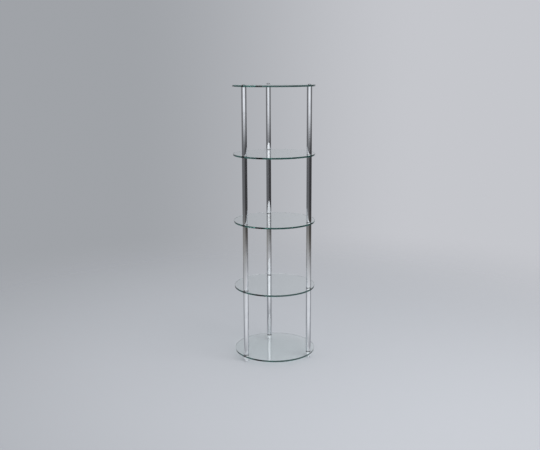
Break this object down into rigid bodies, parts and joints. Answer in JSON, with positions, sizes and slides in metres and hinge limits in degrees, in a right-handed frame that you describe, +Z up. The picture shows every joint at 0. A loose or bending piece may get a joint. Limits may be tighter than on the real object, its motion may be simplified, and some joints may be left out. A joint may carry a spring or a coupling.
{
  "type": "glass display tower",
  "caption": "Open display tower of round clear glass shelves held between chromed tube posts, with low dome-head screws on top and screw levelling feet.",
  "frame": {"origin": "middle of the floor under the tower, at the underside of the foot soles", "axes": "+Z up along the posts, +Y towards the rear post, the two front posts on -Y"},
  "size_m": [0.3999, 0.4, 1.359],
  "materials": {
    "clear_glass": "clear, polished rim",
    "chrome": "bright chrome plate",
    "zinc_steel": "bright zinc plate",
    "rubber": "matt"
  },
  "bodies": {
    "tower": {"bottom_shelf": "clear_glass", "bottom_shelf_grommets": "rubber", "lower_shelf": "clear_glass", "lower_shelf_grommets": "rubber", "middle_shelf": "clear_glass", "middle_shelf_grommets": "rubber", "upper_shelf": "clear_glass", "upper_shelf_grommets": "rubber", "top_shelf": "clear_glass", "top_shelf_grommets": "rubber", "joining_studs": "zinc_steel", "foot_studs": "zinc_steel", "cap_screws": "chrome", "rear_tube_tier_1": "chrome", "rear_tube_tier_2": "chrome", "rear_tube_tier_3": "chrome", "rear_tube_tier_4": "chrome", "rear_tube_plugs": "zinc_steel", "rear_foot_collar": "chrome", "front_left_tube_tier_1": "chrome", "front_left_tube_tier_2": "chrome", "front_left_tube_tier_3": "chrome", "front_left_tube_tier_4": "chrome", "front_left_tube_plugs": "zinc_steel", "front_left_foot_collar": "chrome", "front_right_tube_tier_1": "chrome", "front_right_tube_tier_2": "chrome", "front_right_tube_tier_3": "chrome", "front_right_tube_tier_4": "chrome", "front_right_tube_plugs": "zinc_steel", "front_right_foot_collar": "chrome"},
    "rear_pad": {"rear_leveller_pad": "chrome", "rear_leveller_sole": "rubber"},
    "rear_leveller": {"rear_leveller": "zinc_steel"},
    "front_left_pad": {"front_left_leveller_pad": "chrome", "front_left_leveller_sole": "rubber"},
    "front_left_leveller": {"front_left_leveller": "zinc_steel"},
    "front_right_pad": {"front_right_leveller_pad": "chrome", "front_right_leveller_sole": "rubber"},
    "front_right_leveller": {"front_right_leveller": "zinc_steel"}
  },
  "joints": [
    {"name": "rear_leveller_travel", "type": "slide", "parent": "tower", "child": "rear_pad", "axis": [0, 0, -1], "range_m": [0, 0.005]},
    {"name": "rear_leveller_turn", "type": "hinge", "parent": "rear_pad", "child": "rear_leveller", "pos_m": [0, 0.18, 0], "axis": [0, 0, -1], "range_deg": [0, 1441]},
    {"name": "front_left_leveller_travel", "type": "slide", "parent": "tower", "child": "front_left_pad", "axis": [0, 0, -1], "range_m": [0, 0.005]},
    {"name": "front_left_leveller_turn", "type": "hinge", "parent": "front_left_pad", "child": "front_left_leveller", "pos_m": [-0.15588, -0.09, 0], "axis": [0, 0, -1], "range_deg": [0, 1441]},
    {"name": "front_right_leveller_travel", "type": "slide", "parent": "tower", "child": "front_right_pad", "axis": [0, 0, -1], "range_m": [0, 0.005]},
    {"name": "front_right_leveller_turn", "type": "hinge", "parent": "front_right_pad", "child": "front_right_leveller", "pos_m": [0.15588, -0.09, 0], "axis": [0, 0, -1], "range_deg": [0, 1441]}
  ],
  "couplings": [
    {"joint": "rear_leveller_turn", "follows": "rear_leveller_travel", "rad_per_m": 5026.5},
    {"joint": "front_left_leveller_turn", "follows": "front_left_leveller_travel", "rad_per_m": 5026.5},
    {"joint": "front_right_leveller_turn", "follows": "front_right_leveller_travel", "rad_per_m": 5026.5}
  ]
}
